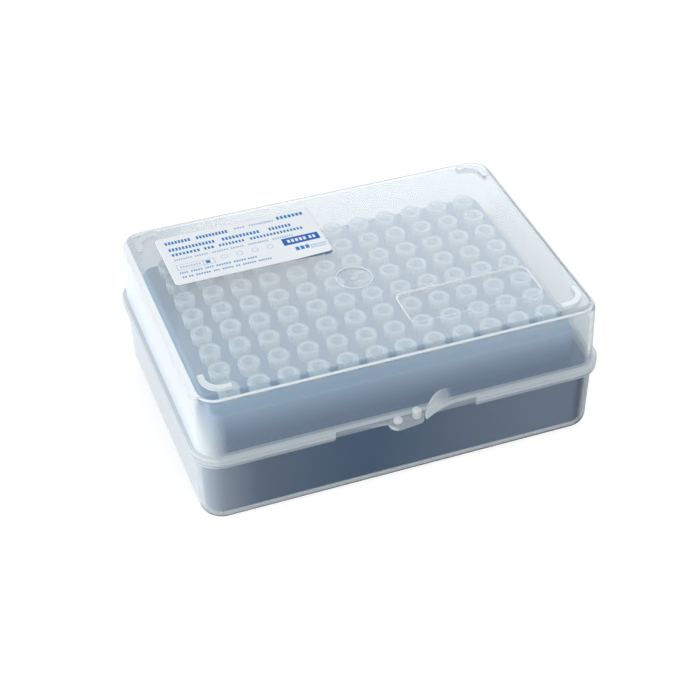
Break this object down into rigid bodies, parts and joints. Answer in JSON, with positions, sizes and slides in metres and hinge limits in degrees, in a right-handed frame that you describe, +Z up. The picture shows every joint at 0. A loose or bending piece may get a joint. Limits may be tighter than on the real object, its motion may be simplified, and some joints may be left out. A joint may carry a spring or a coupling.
{
  "type": "box of pipette tips",
  "caption": "Hinged clear plastic box with a blue rack insert that holds a grid of small pipette tips, with a label, a thumb lip and stacking ribs on the lid.",
  "frame": {"origin": "middle of the underside of the base, on the plane it stands on", "axes": "+X along the long side, to the right seen from the front; +Y towards the hinges at the back; +Z up"},
  "size_m": [0.1276, 0.1025, 0.0467],
  "materials": {
    "clear_plastic": "frosted clear polypropylene, satin",
    "blue_plastic": "blue polypropylene, fine satin",
    "tip_plastic": "natural polypropylene, smooth, milky clear",
    "label_paper": "white coated label with pale blue print as plain bars and blocks"
  },
  "bodies": {
    "base": {"base": "clear_plastic", "rack_insert": "blue_plastic", "tips_column_01": "tip_plastic", "tips_column_02": "tip_plastic", "tips_column_03": "tip_plastic", "tips_column_04": "tip_plastic", "tips_column_05": "tip_plastic", "tips_column_06": "tip_plastic", "tips_column_07": "tip_plastic", "tips_column_08": "tip_plastic", "tips_column_09": "tip_plastic", "tips_column_10": "tip_plastic", "tips_column_11": "tip_plastic", "tips_column_12": "tip_plastic"},
    "lid": {"lid": "clear_plastic", "label": "label_paper"}
  },
  "joints": [
    {"name": "lid_hinge", "type": "hinge", "parent": "base", "child": "lid", "pos_m": [0, 0.0487, 0.0227], "axis": [-1, 0, 0], "range_deg": [0, 110]}
  ]
}
